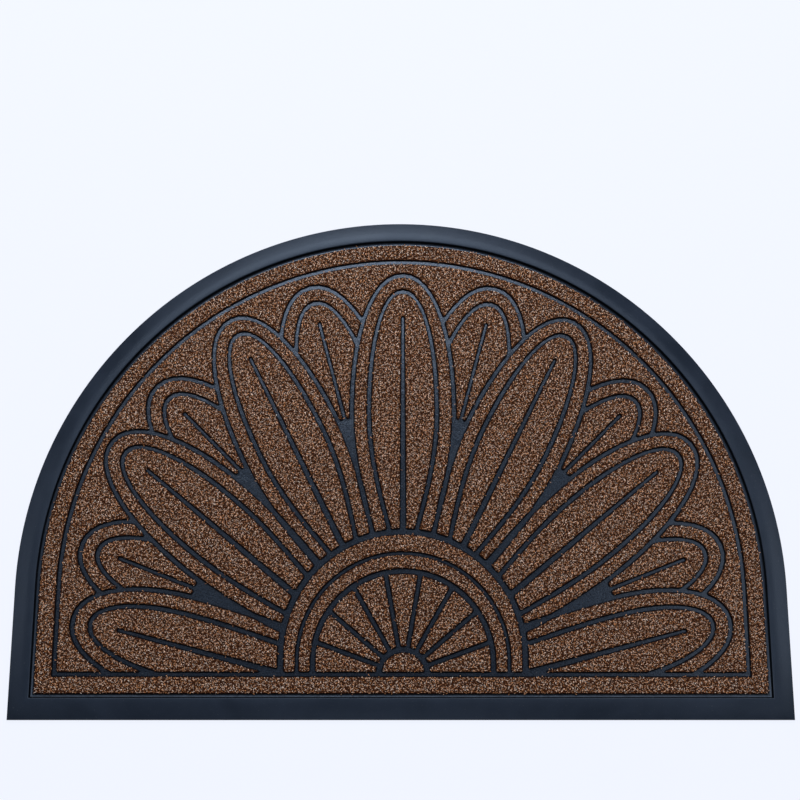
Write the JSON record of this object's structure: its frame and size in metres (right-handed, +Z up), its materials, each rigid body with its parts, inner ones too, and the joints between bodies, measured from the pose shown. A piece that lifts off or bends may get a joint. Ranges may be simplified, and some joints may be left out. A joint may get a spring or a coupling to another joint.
{
  "type": "half-moon doormat",
  "caption": "Half-round doormat: a moulded rubber tray with a bevelled border, holding short pile in fields that bare rubber lines part into a half flower.",
  "frame": {"origin": "centre of the mat's bounding rectangle, on the floor under the mat", "axes": "+X along the straight front edge to the right, +Y from the straight edge towards the top of the arc, +Z up out of the pile"},
  "size_m": [0.9, 0.6, 0.0085],
  "materials": {
    "rubber": "smooth moulded blue-black rubber with a soft sheen",
    "pile": "coarse heathered brown pile, matt"
  },
  "bodies": {
    "root": {"rubber_base": "rubber", "hub_band_1": "pile", "hub_band_2": "pile", "hub_eye": "pile", "hub_sector_1": "pile", "hub_sector_2": "pile", "hub_sector_3": "pile", "hub_sector_4": "pile", "hub_sector_5": "pile", "hub_sector_6": "pile", "hub_sector_7": "pile", "hub_sector_8": "pile", "hub_sector_9": "pile", "large_petal_1_blade": "pile", "large_petal_1_rim": "pile", "large_petal_2_blade": "pile", "large_petal_2_rim": "pile", "large_petal_3_blade": "pile", "large_petal_3_rim": "pile", "large_petal_4_blade": "pile", "large_petal_4_rim": "pile", "large_petal_5_blade": "pile", "large_petal_5_rim": "pile", "large_petal_6_blade": "pile", "large_petal_6_rim": "pile", "large_petal_7_blade": "pile", "large_petal_7_rim": "pile", "pile_frame": "pile", "pile_ground": "pile", "small_petal_1_blade": "pile", "small_petal_1_rim": "pile", "small_petal_2_blade": "pile", "small_petal_2_rim": "pile", "small_petal_3_blade": "pile", "small_petal_3_rim": "pile", "small_petal_4_blade": "pile", "small_petal_4_rim": "pile", "small_petal_5_blade": "pile", "small_petal_5_rim": "pile", "small_petal_6_blade": "pile", "small_petal_6_rim": "pile"}
  },
  "joints": []
}
